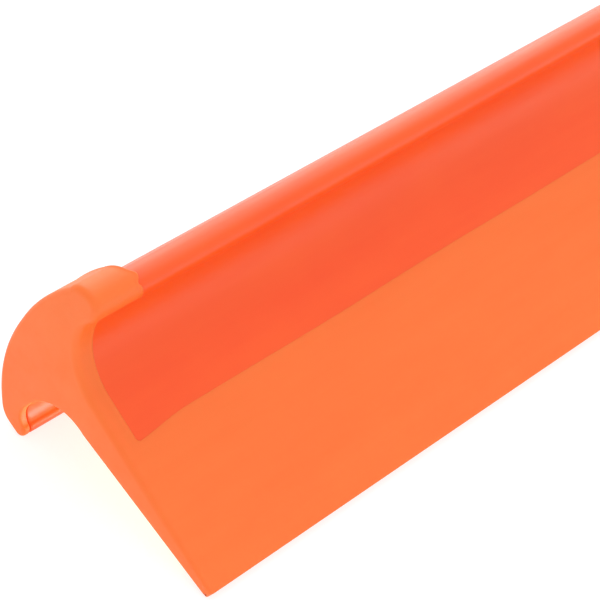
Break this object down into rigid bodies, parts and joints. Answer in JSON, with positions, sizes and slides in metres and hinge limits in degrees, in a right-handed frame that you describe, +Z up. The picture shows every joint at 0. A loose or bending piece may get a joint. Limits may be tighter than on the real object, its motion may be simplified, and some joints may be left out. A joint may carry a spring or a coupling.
{
  "type": "floor squeegee head",
  "caption": "Two-shot moulded floor squeegee head: a long hard frame with hood, nose and threaded handle socket, and a soft tapered wiping blade that also closes the ends.",
  "frame": {"origin": "on the floor under the middle of the head, midway between the blade's front corner and the mouth of the handle socket, with the head lying on its lip and blade edge", "axes": "+X along the head, +Y backwards out of the handle socket, +Z up"},
  "size_m": [0.6, 0.1096, 0.0517],
  "materials": {
    "hard_shell": "orange polypropylene, moulded, satin gloss",
    "soft_blade": "light orange thermoplastic elastomer, moulded, matt"
  },
  "bodies": {
    "root": {"frame": "hard_shell", "blade": "soft_blade"}
  },
  "joints": []
}
